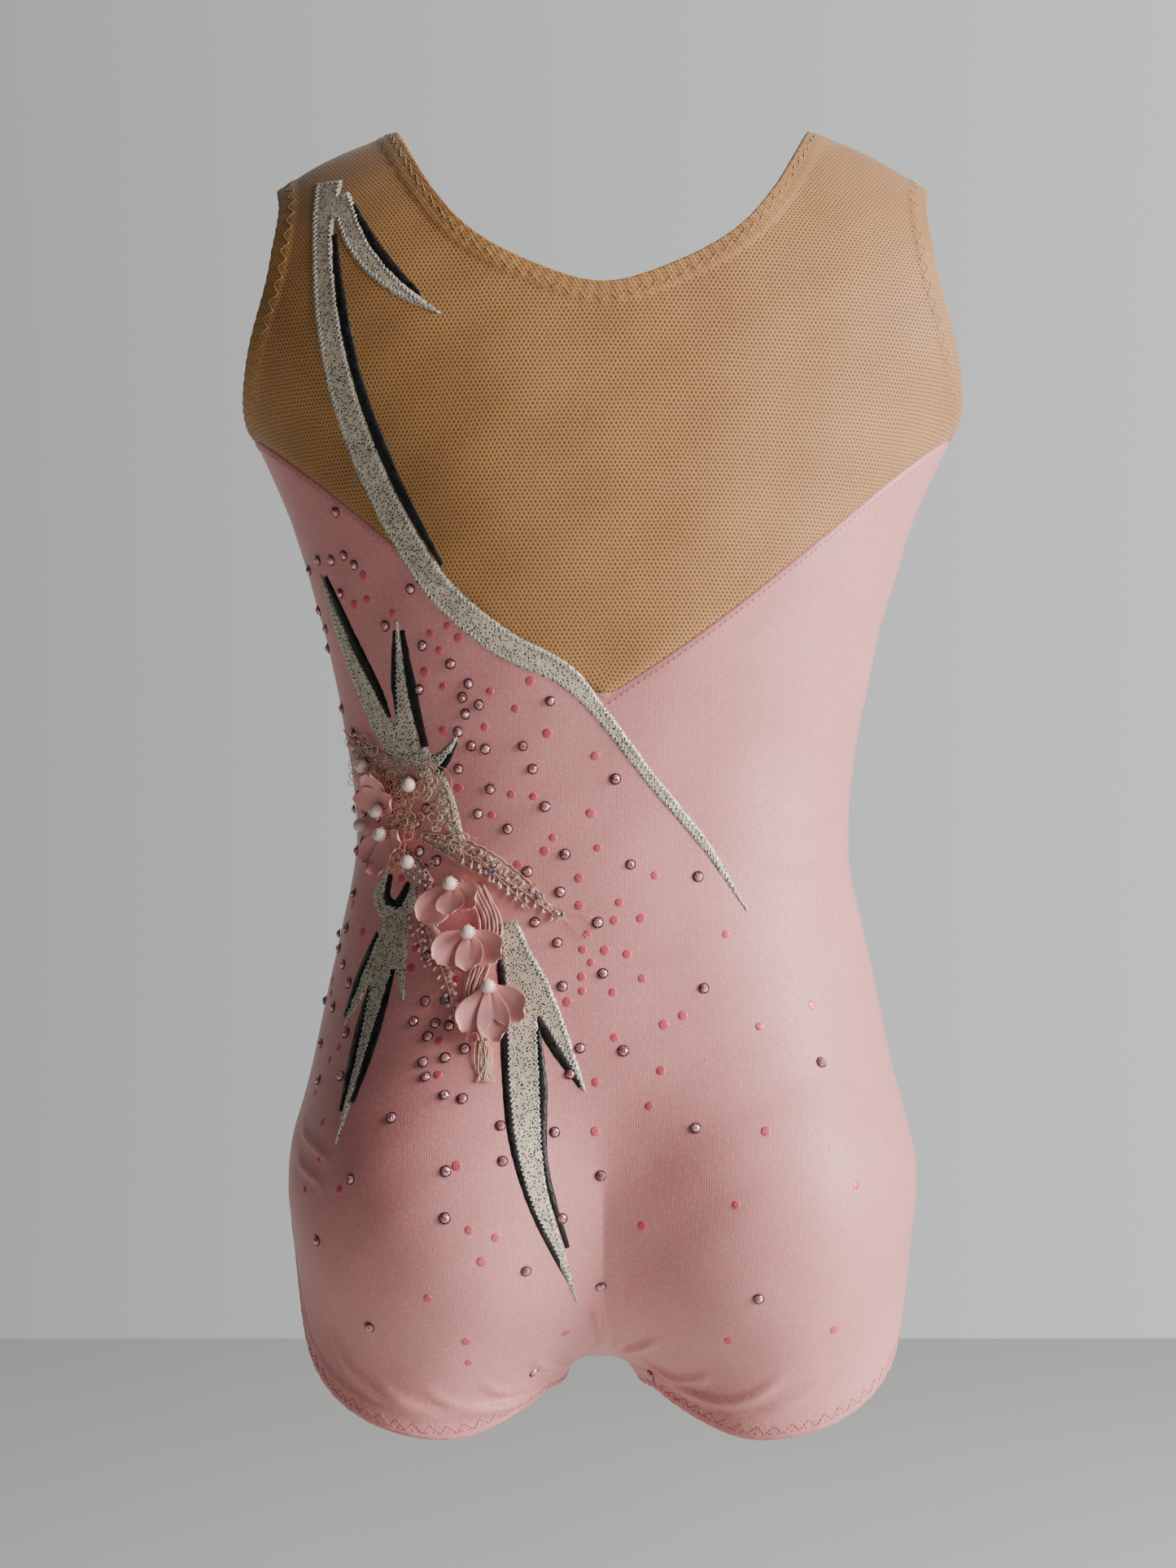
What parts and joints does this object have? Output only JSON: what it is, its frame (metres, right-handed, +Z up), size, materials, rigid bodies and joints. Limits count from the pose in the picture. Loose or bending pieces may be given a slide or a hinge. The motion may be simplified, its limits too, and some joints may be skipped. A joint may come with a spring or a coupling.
{
  "type": "gymnastics leotard",
  "caption": "Child's sleeveless leotard with a mesh yoke, stretch body, open neck, arm and leg holes, foil appliques, and lace, pearl and chiffon flower trim down one side of the back.",
  "frame": {"origin": "midway between the two shoulder tops, where the straps hang on the wearer", "axes": "+Z up, +X to the wearer's right, +Y to the wearer's front, so the trimmed back faces -Y"},
  "size_m": [0.3012, 0.1854, 0.5376],
  "materials": {
    "tan_mesh": "fine stretch power mesh, matte, with a close hexagonal hole pattern",
    "pink_spandex": "dusty pink stretch satin spandex with a soft sparkle grain",
    "lining": "matte knitted lining",
    "elastic": "knitted elastic tape",
    "silver_foil": "silver beige foil mesh with fine dark pinholes",
    "black_foil": "black foil cloth edging, slightly glossy",
    "lace": "gold beige lace with small dark beads",
    "gold_thread": "embroidery thread with beads",
    "pearl": "cream imitation pearl, glossy with a soft lustre",
    "chiffon": "sheer pink chiffon, heat-curled edges",
    "pink_glass": "faceted pale pink stone with a dark metallic back"
  },
  "bodies": {
    "leotard": {"back_panel": "pink_spandex", "back_yoke": "tan_mesh", "beaded_lace_band": "lace", "beaded_sprig": "gold_thread", "blade_black_edge": "black_foil", "blade_black_inner": "black_foil", "blade_black_notch": "black_foil", "crotch_lining": "lining", "embroidered_stem": "gold_thread", "fork_black_edge": "black_foil", "front_panel": "pink_spandex", "front_yoke": "tan_mesh", "hip_black_cup": "black_foil", "hip_black_left": "black_foil", "hip_black_outer": "black_foil", "hip_black_right": "black_foil", "hip_blade": "silver_foil", "hip_star": "silver_foil", "left_arm_elastic": "elastic", "left_arm_hem": "tan_mesh", "left_leg_elastic": "elastic", "left_leg_hem": "pink_spandex", "neck_elastic": "elastic", "neck_hem": "tan_mesh", "rhinestone_1": "pink_glass", "rhinestone_2": "pink_glass", "rhinestone_3": "pink_glass", "rhinestone_4": "pink_glass", "rhinestone_5": "pink_glass", "rhinestone_6": "pink_glass", "ribbon_black_edge": "black_foil", "right_arm_elastic": "elastic", "right_arm_hem": "tan_mesh", "right_leg_elastic": "elastic", "right_leg_hem": "pink_spandex", "shoulder_ribbon": "silver_foil", "waist_black_left": "black_foil", "waist_black_long": "black_foil", "waist_black_right": "black_foil", "waist_black_short": "black_foil", "waist_lace_lower": "lace", "waist_lace_middle": "lace", "waist_lace_upper": "lace", "waist_pearl_1": "pearl", "waist_pearl_2": "pearl", "waist_pearl_3": "pearl", "waist_pearl_4": "pearl", "waist_star": "silver_foil"},
    "flower_1_spray": {"flower_1": "chiffon", "flower_pearl_1": "pearl"},
    "flower_2_spray": {"flower_2": "chiffon", "flower_pearl_2": "pearl"},
    "flower_3_spray": {"flower_3": "chiffon", "flower_pearl_3": "pearl"},
    "flower_4_spray": {"flower_4": "chiffon", "flower_pearl_4": "pearl"},
    "flower_5_spray": {"flower_5": "chiffon", "flower_pearl_5": "pearl"}
  },
  "joints": [
    {"name": "flower_1_lift", "type": "hinge", "parent": "leotard", "child": "flower_1_spray", "pos_m": [-0.09018, -0.03943, -0.28772], "axis": [0.6965, -0.7039, 0.1393], "range_deg": [0, 25], "stiffness_Nm_per_rad": 0.001},
    {"name": "flower_2_lift", "type": "hinge", "parent": "leotard", "child": "flower_2_spray", "pos_m": [-0.08864, -0.04123, -0.29741], "axis": [-0.7015, 0.6808, 0.2105], "range_deg": [0, 25], "stiffness_Nm_per_rad": 0.001},
    {"name": "flower_3_lift", "type": "hinge", "parent": "leotard", "child": "flower_3_spray", "pos_m": [-0.06016, -0.06079, -0.31763], "axis": [-0.9185, 0.3846, 0.0919], "range_deg": [0, 25], "stiffness_Nm_per_rad": 0.001},
    {"name": "flower_4_lift", "type": "hinge", "parent": "leotard", "child": "flower_4_spray", "pos_m": [-0.05268, -0.06612, -0.33636], "axis": [-0.9742, 0.2257, 0], "range_deg": [0, 25], "stiffness_Nm_per_rad": 0.001},
    {"name": "flower_5_lift", "type": "hinge", "parent": "leotard", "child": "flower_5_spray", "pos_m": [-0.04461, -0.07227, -0.35741], "axis": [-0.9787, 0.1802, -0.0979], "range_deg": [0, 25], "stiffness_Nm_per_rad": 0.001}
  ]
}
